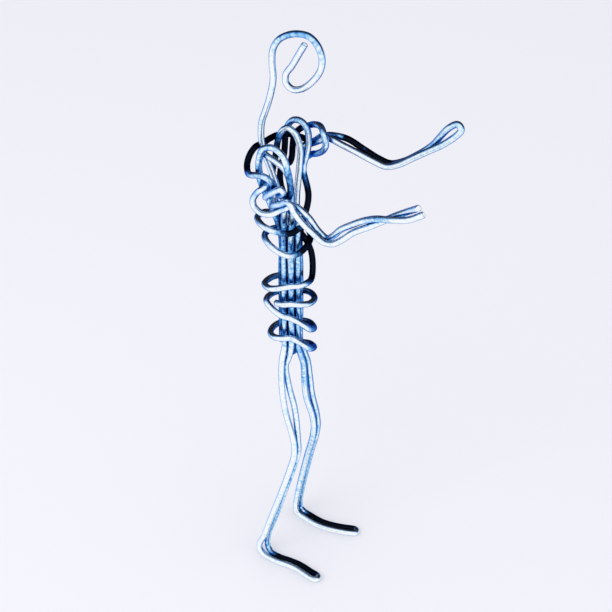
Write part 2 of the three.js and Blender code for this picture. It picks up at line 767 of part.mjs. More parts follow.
add(leftForearm, "left_forearm", leftPiece("elbow", "elbow inner", squareEnds), STEEL);

// Legs
for (const side of ["right", "left"]) {
  const bend = (name) => between(body.bend(`${side} ${name} outer`), body.bend(`${side} ${name} inner`));
  const thigh = limb(`${side}_hip`, figure, bend("hip"));
  const shin = limb(`${side}_knee`, thigh, bend("knee"));
  const foot = limb(`${side}_ankle`, shin, bend("ankle"));
  // The body wire runs down the right outer strand and up the inner one, and the other way on the left
  const down = side === "right" ? "outer" : "inner";
  const up = side === "right" ? "inner" : "outer";
  const leg = (from, to, strand, ends) => {
    return wirePiece(body, `${side} ${from} ${strand}`, `${side} ${to} ${strand}`, ends);
  };
  add(thigh, `${side}_thigh_${down}`, leg("hip", "knee", down, squareThenRound), STEEL);
  add(thigh, `${side}_thigh_${up}`, leg("knee", "hip", up, roundThenSquare), STEEL);
  add(shin, `${side}_shin_${down}`, leg("knee", "ankle", down, squareThenRound), STEEL);
  add(shin, `${side}_shin_${up}`, leg("ankle", "knee", up, roundThenSquare), STEEL);
  const sole = wirePiece(body, `${side} ankle ${down}`, `${side} ankle ${up}`, squareEnds);
  add(foot, `${side}_foot`, flatSole(sole), STEEL);
}

console.log(`chest binding clears itself by ${leastGapToItself(chestBinding).toFixed(2)} mm`);
console.log(`waist binding clears itself by ${leastGapToItself(waistBinding).toFixed(2)} mm`);

// The origin lies on the floor under the middle of the figure's box
figure.updateMatrixWorld(true);
const box = new THREE.Box3().setFromObject(figure, true);
const middle = box.getCenter(new THREE.Vector3());
figure.position.set(-middle.x, -middle.y, -box.min.z);

const wireFigure = new THREE.Group();
wireFigure.add(figure);
export default wireFigure;
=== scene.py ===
# %% [markdown]
# # A figure bent from wire
# The object is a standing person about 165 mm tall, bent by hand from six lengths of soft steel
# wire: one for the head and spine, one for both legs with the torso and the shoulder loops, one for
# each arm, and two bindings round the torso. There is no hardware. Soft wire bends where a hand bends
# it, so every limb turns at a bend of the wire itself.
#
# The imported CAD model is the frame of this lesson. It has the wires parted at their bends, so that
# rigid bodies can turn there.

# %% Load the frame
import json
import math

import bmesh
import bpy
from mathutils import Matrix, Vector
from mathutils.bvhtree import BVHTree


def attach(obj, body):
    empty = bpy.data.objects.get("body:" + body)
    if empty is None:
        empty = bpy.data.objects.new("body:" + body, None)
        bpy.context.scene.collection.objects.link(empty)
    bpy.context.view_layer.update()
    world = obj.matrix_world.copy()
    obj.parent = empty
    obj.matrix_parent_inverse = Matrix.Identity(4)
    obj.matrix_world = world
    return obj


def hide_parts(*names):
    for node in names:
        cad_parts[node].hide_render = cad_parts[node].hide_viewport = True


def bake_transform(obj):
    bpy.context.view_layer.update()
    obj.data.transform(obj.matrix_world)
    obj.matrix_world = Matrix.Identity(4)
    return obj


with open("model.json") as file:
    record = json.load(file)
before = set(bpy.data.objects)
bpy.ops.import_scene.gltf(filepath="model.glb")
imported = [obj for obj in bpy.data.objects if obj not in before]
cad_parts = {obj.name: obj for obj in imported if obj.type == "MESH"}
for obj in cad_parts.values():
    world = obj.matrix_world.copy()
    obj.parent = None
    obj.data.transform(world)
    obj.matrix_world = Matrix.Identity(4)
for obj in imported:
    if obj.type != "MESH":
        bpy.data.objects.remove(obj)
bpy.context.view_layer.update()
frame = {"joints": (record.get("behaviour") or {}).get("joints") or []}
MM = 0.001

# %% [markdown]
# ## Where the figure stands
# The wires are laid out in millimetres about the middle of the torso, with X the way the figure
# faces, Y to its left and Z up. The joints of the frame give the heights of all bends, and the neck
# bend gives the step from this layout to the frame, so nothing has to be fitted by eye.

# %% Heights and place from the joints
joint_at = {joint["name"]: Vector(joint["pos_m"]) / MM for joint in frame["joints"]}
ANKLE = joint_at["right_ankle_bend"].z
RIGHT_KNEE = joint_at["right_knee_bend"].z
LEFT_KNEE = joint_at["left_knee_bend"].z
HIP = joint_at["right_hip_bend"].z
RIGHT_ARM = joint_at["right_shoulder_bend"].z
LEFT_ARM = joint_at["left_shoulder_bend"].z
NECK = joint_at["neck_bend"].z
HIP_TO_WAIST = 7.5
WAIST_TO_CHEST = 34.5
WAIST = HIP + HIP_TO_WAIST
CHEST = WAIST + WAIST_TO_CHEST
NECK_PLACE = Vector((-7.8, -1.8, NECK))
STEP = joint_at["neck_bend"] - NECK_PLACE
print("torso axis stands at", [round(part, 2) for part in STEP])

# %% [markdown]
# ## The camera
# The photograph looks down on the figure at 35 degrees, from its front right, through a long lens.
# A camera is easiest to place from three directions: back from the subject, to the right and up. It
# then slides sideways until the middle of the torso falls on the pixel where the photograph has it.

# %% Camera at the photograph's angle
PHOTO_SIDE = 612
TORSO_PIXEL = (291, 300)
TORSO_MIDDLE = Vector((0, 0, 83))
AZIMUTH = math.radians(36)
ELEVATION = math.radians(35)
LENS = 110.3
SENSOR = 36
DISTANCE = 500

right = Vector((math.cos(AZIMUTH), math.sin(AZIMUTH), 0))
back = Vector((math.sin(AZIMUTH), -math.cos(AZIMUTH), 0)) * math.cos(ELEVATION)
back.z = math.sin(ELEVATION)
up = back.cross(right)
pixel = DISTANCE * SENSOR / LENS / PHOTO_SIDE
aside = (TORSO_PIXEL[0] - PHOTO_SIDE / 2) * pixel
above = (PHOTO_SIDE / 2 - TORSO_PIXEL[1]) * pixel

camera = bpy.data.objects.new("camera", bpy.data.cameras.new("camera"))
camera.data.lens = LENS
camera.data.sensor_width = SENSOR
camera.data.clip_start = 0.01
camera.location = (STEP + TORSO_MIDDLE - right * aside - up * above + back * DISTANCE) * MM
camera.rotation_mode = "QUATERNION"
camera.rotation_quaternion = (-back).to_track_quat("-Z", "Y")
bpy.context.scene.collection.objects.link(camera)
bpy.context.scene.camera = camera
print("camera stands", round(camera.location.length, 3), "m from the figure's origin")

# %% [markdown]
# ## A length of wire
# A tube along a path could be swept ring by ring, but a Bezier curve with a round bevel does it in
# one go and stays smooth where the points lie close. The handles come from the points alone: each
# one follows the slope through its neighbours, with near neighbours counting for more, which keeps
# the wire from overshooting at a tight fold.

# %% Points and handles of a wire
WIRE_RADIUS = 0.85
PITCH = 1.9


class Wire:
    """A route in millimetres, with names for some of its points."""

    def __init__(self):
        self.points = []
        self.marks = {}

    def add(self, points, **marks):
        """Adds points to the route; a mark names one of them by its index."""
        for name, index in marks.items():
            self.marks[name] = len(self.points) + index % len(points)
        self.points += points
        return self

    def handles(self):
        """The two Bezier handles of each point."""
        lead = 2 * self.points[0] - self.points[1]
        trail = 2 * self.points[-1] - self.points[-2]
        ends = [lead, *self.points, trail]
        pairs = []
        for before, at, after in zip(ends, ends[1:], ends[2:]):
            near = math.sqrt((at - before).length)
            far = math.sqrt((after - at).length)
            slope = (at - before) / near - (after - before) / (near + far) + (after - at) / far
            pairs.append((at - slope * near / 3, at + slope * far / 3))
        return pairs


def over(level, rows):
    """Points written as forward, left and height over a level."""
    return [Vector((x, y, level + z)) for x, y, z in rows]


print("wire is", 2 * WIRE_RADIUS, "mm thick; strands side by side lie", PITCH, "mm apart")

# %% [markdown]
# The curve becomes a mesh, because a mesh can follow two bodies at once. Its caps are welded on and
# made one flat face each. Where the wire is really cut, the rim of the cap is rounded off a little,
# as a side cutter leaves it. Where the wire goes on in the next piece, the cap stays flat, so that
# the two meet face to face with no seam to see. The UV map is stretched to millimetres, along and
# around the wire, which lets the finish draw lines along it. Each vertex also keeps its share of the
# way along the piece, from 0 to 1, and whether it lies on a fresh cut.

# %% Turn a stretch of wire into a mesh
RIM = 0.3
RIM_STEPS = 3
WELD = 1e-7
RINGS_PER_SPAN = 8
SIDES = 16


def draw_curve(name, points, handles):
    """A Bezier curve with a round bevel, placed in the frame."""
    curve = bpy.data.curves.new(name, "CURVE")
    curve.dimensions = "3D"
    curve.bevel_depth = WIRE_RADIUS * MM
    curve.bevel_resolution = SIDES // 2 - 2
    curve.resolution_u = RINGS_PER_SPAN
    curve.use_fill_caps = True
    spline = curve.splines.new("BEZIER")
    spline.bezier_points.add(len(points) - 1)
    for knot, point, (left, ahead) in zip(spline.bezier_points, points, handles):
        knot.handle_left_type = knot.handle_right_type = "FREE"
        knot.co = (STEP + point) * MM
        knot.handle_left = (STEP + left) * MM
        knot.handle_right = (STEP + ahead) * MM
    return curve


def close_ends(form, cut_places):
    """Makes each cap one face with a sharp rim, and rounds and marks it where the wire is cut."""
    bmesh.ops.remove_doubles(form, verts=form.verts, dist=WELD)
    triangles = [face for face in form.faces if len(face.verts) == 3]
    caps = bmesh.ops.dissolve_faces(form, faces=triangles)["region"]
    for cap in caps:
        cap.smooth = False
        for edge in cap.edges:
            edge.smooth = False
    rims = []
    for place in cut_places:
        cap = min(caps, key=lambda face: (face.calc_center_median() - place).length)
        rims += cap.edges
    for edge in rims:
        edge.smooth = True
    bmesh.ops.bevel(
        form, geom=rims, offset=RIM * MM, segments=RIM_STEPS, profile=0.5, affect="EDGES",
        material=-1,
    )
    bmesh.ops.recalc_face_normals(form, faces=form.faces)
    fresh = form.verts.layers.float.new("fresh")
    for cap in [face for face in form.faces if len(face.verts) > 4]:
        middle = cap.calc_center_median()
        if any((middle - place).length < MM for place in cut_places):
            for vertex in cap.verts:
                vertex[fresh] = 1


def wire_piece(name, wire, first, last, cut=()):
    """The stretch of a wire between two of its marks; cut names the ends that are real cuts."""
    start = wire.marks[first]
    stop = wire.marks[last] + 1
    points = wire.points[start:stop]
    curve = draw_curve(name, points, wire.handles()[start:stop])
    length = curve.splines[0].calc_length()
    drawn = bpy.data.objects.new(name, curve)
    bpy.context.scene.collection.objects.link(drawn)
    graph = bpy.context.evaluated_depsgraph_get()
    mesh = bpy.data.meshes.new_from_object(drawn.evaluated_get(graph))
    bpy.data.objects.remove(drawn)
    bpy.data.curves.remove(curve)

    form = bmesh.new()
    form.from_mesh(mesh)
    places = {"first": points[0], "last": points[-1]}
    close_ends(form, [(STEP + places[end]) * MM for end in cut])
    drawn_on = form.loops.layers.uv.active
    share = form.verts.layers.float.new("share")
    for face in form.faces:
        for loop in face.loops:
            if len(face.verts) == 4:
                loop.vert[share] = loop[drawn_on].uv.x
            loop[drawn_on].uv.x *= length / MM
            loop[drawn_on].uv.y *= 2 * math.pi * WIRE_RADIUS
    form.to_mesh(mesh)
    form.free()
    piece = bpy.data.objects.new(name, mesh)
    bpy.context.scene.collection.objects.link(piece)
    print(f"{name}: {length / MM:.1f} mm of wire, {len(mesh.polygons)} faces")
    return piece


# %% [markdown]
# ## Pairs of strands
# Most of the figure is a doubled wire: two strands side by side. It is easier to place the middle of
# the pair and say which way the strands lie from each other. A station does that: its middle, some
# slack beyond lying side by side, and the direction across the pair, turned from forward about the
# vertical. The right strand lies at minus half the spread, and the left strand at plus half.

# %% Stations of a pair
RIGHT_STRAND = -1
LEFT_STRAND = 1


def station(x, y, z, slack=0.0, turn=90.0):
    """The middle of a pair, and the step from there to its left strand."""
    angle = math.radians(turn)
    half = Vector((math.cos(angle), math.sin(angle), 0)) * (PITCH + slack) / 2
    return Vector((x, y, z)), half


def strand(stations, which):
    """The points of one strand of a pair."""
    return [middle + which * half for middle, half in stations]


def fold(middle, across, along):
    """The round end of a hairpin, from one strand over to the other."""
    angles = [math.radians(degrees) for degrees in (45, 90, 135)]
    return [middle + across * math.cos(angle) + along * math.sin(angle) for angle in angles]


# %% [markdown]
# ## Legs
# Each leg is a hairpin of wire: down one strand, round a fold at the toe and up the other. The knees
# stand forward, and the soles lie flat on the floor, resting on the round underside of the wire. The
# stations run from the hip bend down to the toe.

# %% Stations of the legs
SOLE = WIRE_RADIUS
HEEL = SOLE + 0.25

right_leg = [
    station(-0.5, -2.9, HIP),
    station(0.6, -3.6, RIGHT_KNEE + 19, 0.3, 70),
    station(2.7, -4.4, RIGHT_KNEE + 12.6, 0.8, 52),
    station(5.6, -5.7, RIGHT_KNEE + 4.1),
    station(6.1, -6.2, RIGHT_KNEE),
    station(5.3, -6.9, RIGHT_KNEE - 4.6),
    station(3.3, -8.2, RIGHT_KNEE - 13),
    station(0.1, -10.1, ANKLE + 4.8, 0.2, 82),
    station(-1.2, -10.8, ANKLE, 0.4),
    station(-2.0, -11.0, ANKLE - 2.9, 0.5, 66),
    station(-1.9, -11.2, ANKLE - 4.9, 0.6, 55),
    station(-0.6, -11.6, HEEL, 0.4, 66),
    station(1.5, -11.9, SOLE, 0, 88),
    station(4.5, -11.8, SOLE, 0, 100),
    station(7.4, -11.3, SOLE, 0, 98),
    station(10.6, -11.1, SOLE, 0, 88),
    station(14, -11.5, SOLE, 0, 82),
    station(16.6, -11.8, SOLE, 0, 84),
]
left_leg = [
    station(2.9, 2.6, HIP),
    station(3.1, 3.1, LEFT_KNEE + 17, 0.2, 80),
    station(3.4, 3.6, LEFT_KNEE + 11, 0.2, 75),
    station(4.5, 4.7, LEFT_KNEE + 4),
    station(4.7, 5.0, LEFT_KNEE),
    station(3.9, 5.4, LEFT_KNEE - 4.4),
    station(1.2, 6.5, LEFT_KNEE - 13.2),
    station(-2.2, 7.5, ANKLE + 5.5),
    station(-3.4, 7.9, ANKLE),
    station(-3.9, 8.1, ANKLE - 3.2),
    station(-3.6, 8.1, ANKLE - 5.1),
    station(-2.3, 8.0, HEEL),
    station(0, 7.9, SOLE),
    station(5, 7.6, SOLE, 0, 95),
    station(10, 8.8, SOLE, 0, 106),
    station(14.3, 10.6, SOLE, 0, 113),
]
MID_THIGH = 2
MID_SHIN = 6


def toe_fold(leg, which):
    """Round the toe, from the named strand to the other."""
    middle, half = leg[-1]
    forward = Vector((half.y, -half.x, 0))
    return fold(middle, which * half, forward)


print("right foot reaches", right_leg[-1][0].x, "mm forward, the left one", left_leg[-1][0].x)

# %% [markdown]
# ## Torso and shoulder loops
# Eight strands stand in a ring round the spine: two up the front and two down the back on either
# side. On top each pair arches over as a double loop, the inner one lower, and these loops are the
# shoulders. The ring is turned a little, as the bindings have twisted it. A loop was bent by hand, so
# it is no half circle: its points give how far forward and how high over the chest the wire runs, in
# a plane at some distance to the side.

# %% Strands from the waist over a shoulder and down the back
RING_STRANDS = 8
RING_RADIUS = PITCH / (2 * math.sin(math.pi / RING_STRANDS))
RING_TURN = -30
THIRD = (CHEST - WAIST) / 3

SHOULDERS = {
    "right": {
        "corner": -45,
        "front": station(2.7, -4.6, CHEST + 11, 0.35, 70),
        "back": station(-3.0, -4.0, CHEST + 11, 0, 97),
        "asides": {RIGHT_STRAND: -7.9, LEFT_STRAND: -6.0},
        "loops": {
            RIGHT_STRAND: [
                (5.9, 19.5), (4.8, 25.3), (3.5, 28.3), (0.5, 29.6), (-2.5, 28.3), (-3.8, 25.3),
                (-3.8, 19.5),
            ],
            LEFT_STRAND: [
                (4.5, 18.5), (3.8, 21.6), (2.4, 23.5), (0.4, 24.4), (-2, 25.1), (-4.2, 25.5),
                (-5.2, 23.6), (-5.2, 19.5),
            ],
        },
    },
    "left": {
        "corner": 45,
        "front": station(2.0, 2.6, CHEST + 11, 1.1, 35),
        "back": station(-7.0, 3.3, CHEST + 12, 0.2, 55),
        "asides": {LEFT_STRAND: 5.95, RIGHT_STRAND: 4.05},
        "loops": {
            LEFT_STRAND: [
                (-0.2, 16.5), (0.7, 21), (1.5, 25.2), (1, 28.8), (-0.8, 30.4), (-3, 30.2),
                (-4.8, 28.4), (-5.8, 25.2), (-6.3, 19.5),
            ],
            RIGHT_STRAND: [
                (-0.1, 17.8), (0.2, 22.6), (-0.4, 25.9), (-1.6, 27.7), (-3.6, 28.5), (-5.5, 27),
                (-6.8, 24), (-7.6, 19.5),
            ],
        },
    },
}


def ring_pair(corner, z):
    """Two neighbours of the ring, about a corner in degrees from forward."""
    angle = math.radians(corner + RING_TURN)
    reach = RING_RADIUS * math.cos(math.pi / RING_STRANDS)
    lean = corner - math.copysign(180, corner) if abs(corner) > 90 else corner
    return station(reach * math.cos(angle), reach * math.sin(angle), z, 0, 90 + lean + RING_TURN)


def shoulder_strand(side, which):
    """Up the front from the waist, over the shoulder loop and down the back to the waist."""
    shoulder = SHOULDERS[side]
    corner = shoulder["corner"]
    aside = shoulder["asides"][which]
    heights = [WAIST, WAIST + THIRD, CHEST - THIRD, CHEST]
    rising = [ring_pair(corner, z) for z in heights] + [shoulder["front"]]
    falling = [shoulder["back"]] + [ring_pair(3 * corner, z) for z in reversed(heights)]
    crest = [Vector((x, aside, CHEST + rise)) for x, rise in shoulder["loops"][which]]
    return strand(rising, which) + crest + strand(falling, which)


def hip_point(side, leg, which):
    """Between the waist and the hip bend the pair turns until it lies square across."""
    foot = ring_pair(SHOULDERS[side]["corner"], WAIST)
    middle = (foot[0] + leg[0][0]) / 2
    across = (foot[1].normalized() + leg[0][1].normalized()).normalized() * PITCH / 2
    return middle + which * across


print("ring of the torso is", round(2 * RING_RADIUS, 2), "mm across")

# %% [markdown]
# ## The body wire
# One wire makes both legs, the torso and the shoulders. It starts behind the waist, goes over the
# right shoulder and down the right leg, comes back up and over, turns in a small hairpin that shows
# at the crotch, and does the same on the left. Marks name the points where the lesson parts it into
# pieces: each piece may cross only one bend, so it is parted in the middle of every limb.

# %% Route of the body wire
CROTCH_EYE = Vector((-1.0, 1.7, WAIST - 5.1))
CROTCH_HALF = PITCH / 2 + 0.3
CROTCH_TURN = math.radians(60)


def crotch_fold():
    """The small hairpin under the torso."""
    across = Vector((math.cos(CROTCH_TURN), math.sin(CROTCH_TURN), 0)) * CROTCH_HALF
    drop = Vector((0, 0, -CROTCH_HALF))
    eye = CROTCH_EYE - drop
    return [eye - across, *fold(eye, -across, drop), eye + across]


def leg_down(wire, side, leg, which, label):
    """Adds a strand from the hip to the toe."""
    wire.add([hip_point(side, leg, which)])
    wire.add(strand(leg, which), **{f"{label}_thigh": MID_THIGH, f"{label}_shin": MID_SHIN})


def leg_up(wire, side, leg, which, label):
    """Adds a strand from the toe to the hip."""
    points = strand(leg, which)[::-1]
    wire.add(points, **{f"{label}_thigh": -1 - MID_THIGH, f"{label}_shin": -1 - MID_SHIN})
    wire.add([hip_point(side, leg, which)])


body = Wire()
body.add(shoulder_strand("right", RIGHT_STRAND)[::-1], right_end=0, right_outer_waist=-1)
leg_down(body, "right", right_leg, RIGHT_STRAND, "right_outer")
body.add(toe_fold(right_leg, RIGHT_STRAND))
leg_up(body, "right", right_leg, LEFT_STRAND, "right_inner")
body.add(shoulder_strand("right", LEFT_STRAND), right_inner_waist=0)
body.add(crotch_fold())
body.add(shoulder_strand("left", RIGHT_STRAND)[::-1], left_inner_waist=-1)
leg_down(body, "left", left_leg, RIGHT_STRAND, "left_inner")
body.add(toe_fold(left_leg, RIGHT_STRAND))
leg_up(body, "left", left_leg, LEFT_STRAND, "left_outer")
body.add(shoulder_strand("left", LEFT_STRAND), left_outer_waist=0, left_end=-1)
print("body wire has", len(body.points), "points")

# %% [markdown]
# The pieces on the torso simply ride on it. That stretch is written as how far it starts before
# the joint and how far it goes on after it.

# %% Pieces of the body wire
HIP_STRETCH = (3, 3.4)
KNEE_STRETCH = (3.6, 3.6)
ANKLE_STRETCH = (3.2, 2.8)


def bend_down(piece, joint, above, below, body_above, body_below):
    """Bakes the piece's place into its mesh; it doesn't bend it, and joint, above, below, body_above
    and body_below are not used.
    """
    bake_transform(piece)


pieces = {}
for name, first, last, cut, node in (
    ("right_outer_torso", "right_end", "right_outer_waist", ["first"], "right_outer_strand"),
    ("inner_torso", "right_inner_waist", "left_inner_waist", [], "body_inner_wire"),
    ("left_outer_torso", "left_outer_waist", "left_end", ["last"], "left_outer_strand"),
):
    pieces[name] = wire_piece(name, body, first, last, cut)
    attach(pieces[name], "torso")
    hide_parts(node)

for side, going_down in (("right", "outer"), ("left", "inner")):
    for which in ("outer", "inner"):
        label = f"{side}_{which}"
        stops = [f"{label}_waist", f"{label}_thigh", f"{label}_shin"]
        hip_ends = stops[:2] if which == going_down else stops[1::-1]
        knee_ends = stops[1:] if which == going_down else stops[:0:-1]
        hip = wire_piece(f"{label}_hip", body, *hip_ends)
        bend_down(hip, f"{side}_hip_bend", *HIP_STRETCH, "torso", f"{side}_thigh")
        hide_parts(f"{side}_thigh_{which}")
        knee = wire_piece(f"{label}_knee", body, *knee_ends)
        bend_down(knee, f"{side}_knee_bend", *KNEE_STRETCH, f"{side}_thigh", f"{side}_shin")
        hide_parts(f"{side}_shin_{which}")
        pieces[hip.name] = hip
        pieces[knee.name] = knee
    coming_up = "inner" if going_down == "outer" else "outer"
    foot_ends = [f"{side}_{going_down}_shin", f"{side}_{coming_up}_shin"]
    foot = wire_piece(f"{side}_foot_hairpin", body, *foot_ends)
    bend_down(foot, f"{side}_ankle_bend", *ANKLE_STRETCH, f"{side}_shin", f"{side}_foot")
    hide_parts(f"{side}_foot")
    pieces[foot.name] = foot

# %% [markdown]
# ## Head and spine
# One wire stands in the middle of the torso, leans back out of it as the neck and ends in an open
# curl, which is the head. The curl lies in a plane that faces sideways. The whole wire is one piece.
# Its stretch at the neck is written from below upwards, so both parts of it are negative.

# %% Head and spine wire
SPINE_HEIGHTS = (WAIST - 2, WAIST + THIRD, CHEST - THIRD)
NECK_STRETCH = (-3.2, -3.4)
HEAD_ASIDE = -2
CURL = [
    (-7.3, 4.4), (-6.1, 7.9), (-4.6, 12.6), (-3.6, 17.8), (-3.9, 22), (-3.6, 25.6), (-2.0, 28.6),
    (0.7, 30.8), (4.1, 32.2), (7.3, 32.4), (9.7, 30.9), (11.1, 27.9), (10.8, 24.6), (8.5, 20.8),
    (5.0, 17.5), (2.2, 16.6), (0.4, 17.7), (0.3, 20), (2.2, 23), (4.3, 26.8), (6.1, 30.0),
]
head_points = [Vector((0, 0, height)) for height in SPINE_HEIGHTS]
head_points += over(CHEST, [
    (0, 0, -3), (-0.3, 0.2, 2), (-1.4, 0.5, 5), (-2.9, 0.6, 7.9), (-5.0, 0.8, 12.5),
    (-6.6, 0.3, 17.5), (-7.5, -1.0, 22.5),
])
head_points.append(NECK_PLACE)
head_points += [Vector((x, HEAD_ASIDE, NECK + z)) for x, z in CURL]

head = Wire().add(head_points, spine_end=0, head_end=-1)
name = "head_and_spine"
pieces[name] = wire_piece(name, head, "spine_end", "head_end", ["first", "last"])
bend_down(pieces[name], "neck_bend", *NECK_STRETCH, "torso", "head")
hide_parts("spine_wire", "head_wire")

# %% [markdown]
# ## Arms
# Both arms are pairs of strands held forward. The left pair is one wire folded back at the hand. The
# right pair is another wire folded at the shoulder, with its strands twisted round each other up to
# two cut ends at the hand. An arm lies along the forward direction, so its stations roll about the
# arm instead of turning about the vertical.

# %% Stations of the arms
RIGHT_ARM_ASIDE = -9.5
LEFT_ARM_ASIDE = 7.1


def arm_strand(stations, aside, level, which):
    """Points of one strand; a row is forward, height over the level, slack and roll."""
    points = []
    for i, (x, z, slack, roll) in enumerate(stations):
        before = stations[max(0, i - 1)]
        after = stations[min(len(stations) - 1, i + 1)]
        upright = Vector((before[1] - after[1], 0, after[0] - before[0])).normalized()
        angle = math.radians(roll)
        across = Vector((0, math.cos(angle), 0)) + upright * math.sin(angle)
        points.append(Vector((x, aside, level + z)) + across * which * (PITCH + slack) / 2)
    return points


right_arm = [
    (8.6, 0, 0, 0), (11.8, -2.2, 0.3, 24), (14.8, -4.4, 0, 0), (17.6, -5.7, 0, 0),
    (20.2, -4.6, 0.6, 36), (22.6, -2.3, 0.7, 58), (26, 0.8, 0, 70), (30, 3.7, 0, 95),
    (34, 6.3, 0.2, 140), (38, 8.4, 0.2, 185), (42, 10.5, 0.2, 230), (45.6, 13, 0.2, 285),
]
left_arm = [
    (7.5, 0, 0, 0), (12, 0, 0.3, 25), (17, -1, 0.1, 10), (21.4, -1.9, 0, 0), (25, -2.1, 0, 0),
    (28.6, -0.3, 0, 0), (33, 3.2, 0, 0), (37.3, 7, 0, 20), (39.9, 9.7, 0.3, 55),
    (42.6, 12.8, 0.7, 80), (44.4, 14.7, 0.3, 85),
]
RIGHT_MID_ARM = 1
LEFT_MID_ARM = 2
HAND_TIP = 1.06
right_outer = arm_strand(right_arm, RIGHT_ARM_ASIDE, RIGHT_ARM, RIGHT_STRAND)
right_inner = arm_strand(right_arm, RIGHT_ARM_ASIDE, RIGHT_ARM, LEFT_STRAND)
left_outer = arm_strand(left_arm, LEFT_ARM_ASIDE, LEFT_ARM, LEFT_STRAND)
left_inner = arm_strand(left_arm, LEFT_ARM_ASIDE, LEFT_ARM, RIGHT_STRAND)
print("right arm reaches", right_arm[-1][0], "mm forward, the left one", left_arm[-1][0])

# %% [markdown]
# The left arm's wire starts with a cut end beside the right shoulder, hooks onto that loop, passes
# behind the neck as a collar and goes out to the left hand and back. Its tail takes a turn round the
# root of the arm and hangs behind the left loop. These are free bends, so their points are listed one
# by one.

# %% Route of the left arm's wire
left_wire = Wire()
left_wire.add(over(RIGHT_ARM, [
    (-1.2, -9.2, -0.3), (0.3, -9.8, 1.3), (1.9, -10.2, 2.7), (3.5, -10.4, 4.1), (4.8, -10.5, 4.8),
    (5.1, -9.9, 3.8), (4.2, -9.1, 2.3), (2.9, -8.3, 1.3), (1.6, -7.5, 1.1), (1.0, -8.1, 2.7),
    (1.1, -9.2, 4.6), (0.5, -10.0, 6.1), (-0.7, -10.2, 6.5), (-2.6, -10.1, 6.2), (-5.0, -9.8, 5.3),
    (-7.6, -7.8, 4.2),
]), hook_end=0)
left_wire.add(over(CHEST, [
    (-9.2, -6.0, 20.6), (-9.9, -3.9, 22.2), (-9.9, -1.5, 23.4), (-9.4, 1.2, 23.5), (-9.8, 4.5, 23.1),
    (-9.4, 7.5, 22.9), (-7.5, 10.0, 22.6), (-4.2, 10.8, 22.4), (-0.9, 10.5, 22.5), (3.2, 9.4, 25.9),
]), collar_end=-1)
left_wire.add(left_outer, outer_mid_arm=LEFT_MID_ARM)
hand = (left_outer[-1] + left_inner[-1]) / 2
left_wire.add(fold(hand, left_outer[-1] - hand, Vector((1, 0, 1)).normalized() * HAND_TIP))
left_wire.add(left_inner[::-1], inner_mid_arm=-1 - LEFT_MID_ARM)
left_wire.add(over(LEFT_ARM, [
    (4.9, 6.6, -1.6), (2.6, 7.7, -3.4), (0.7, 8.3, -4.8), (-1.4, 8.5, -6.0), (-2.9, 8.6, -7.3),
    (-2.6, 8.8, -9.0), (-1.2, 8.8, -9.4), (0.6, 8.4, -8.0), (3.4, 7.0, -6.2), (6.6, 5.2, -3.3),
    (8.2, 4.0, -0.4), (7.5, 4.1, 2.0), (5.5, 5.6, 2.9), (2.2, 7.4, 1.7), (-0.6, 8.5, -0.1),
    (-3.2, 8.8, -1.9), (-4.9, 8.5, -4.2), (-5.3, 8.2, -7.7), (-5.5, 8.1, -10.8), (-6.3, 8.1, -12.8),
    (-7.7, 8.1, -13.3),
]), tail_start=0, tail_end=-1)
print("left arm's wire has", len(left_wire.points), "points")

# %% [markdown]
# The right arm's wire comes back from the hand, hooks round the strands of the right shoulder, takes
# one loose turn behind them and goes out to the hand again.

# %% Route of the right arm's wire
right_wire = Wire()
right_wire.add(right_outer[::-1], outer_hand=0, outer_mid_arm=-1 - RIGHT_MID_ARM)
right_wire.add(over(RIGHT_ARM, [
    (7.9, -10.4, 1.3), (6.3, -10.0, 1.5), (4.0, -9.3, -0.2), (1.8, -8.8, -1.6), (0.3, -8.0, -2.8),
    (-0.7, -6.6, -2.9), (-1.0, -5.3, -1.8), (-1.1, -5.0, 0.2), (-1.1, -5.7, 2.0), (-1.1, -7.2, 2.9),
    (-1.3, -8.7, 2.4), (-2.8, -9.0, 1.2), (-5.0, -8.2, -1.3), (-6.1, -7.9, -3.6), (-5.6, -8.1, -5.0),
    (-3.8, -8.5, -5.7), (-1.9, -8.7, -5.7), (0.5, -8.5, -4.9), (2.3, -8.0, -3.6), (4.8, -8.3, -1.7),
    (6.6, -8.3, -0.2),
]), hook_start=1, hook_end=-2)
right_wire.add(right_inner, inner_mid_arm=RIGHT_MID_ARM, inner_hand=-1)
print("right arm's wire has", len(right_wire.points), "points")

# %% [markdown]
# The arms are parted like the legs, so that each piece crosses one bend. An arm doesn't run down,
# so its stretch at a bend is laid along a direction: forward, or along the right upper arm, which
# slopes. What is knotted round the shoulders doesn't bend, and rides on the torso.

# %% Pieces of the arms
UPPER_ARM = (0.85, 0, -0.53)
FORWARD = (1, 0, 0)
RIGHT_ELBOW_STRETCH = (2.6, 2.6)
LEFT_ELBOW_STRETCH = (3, 3)
RIGHT_SHOULDER_STRETCH = (1.6, 3)
LEFT_SHOULDER_STRETCH = (2, 3.4)


def bend_along(piece, joint, direction, before, after, body_before, body_after):
    """Bakes the piece's place into its mesh; it doesn't bend it, and joint, direction, before, after,
    body_before and body_after are not used.
    """
    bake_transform(piece)


for name, first, last, cut, node in (
    ("right_outer_elbow", "outer_hand", "outer_mid_arm", ["first"], "right_forearm_outer"),
    ("right_inner_elbow", "inner_mid_arm", "inner_hand", ["last"], "right_forearm_inner"),
):
    pieces[name] = wire_piece(name, right_wire, first, last, cut)
    bend_along(
        pieces[name], "right_elbow_bend", FORWARD, *RIGHT_ELBOW_STRETCH,
        "right_upper_arm", "right_forearm",
    )
    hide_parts(node)

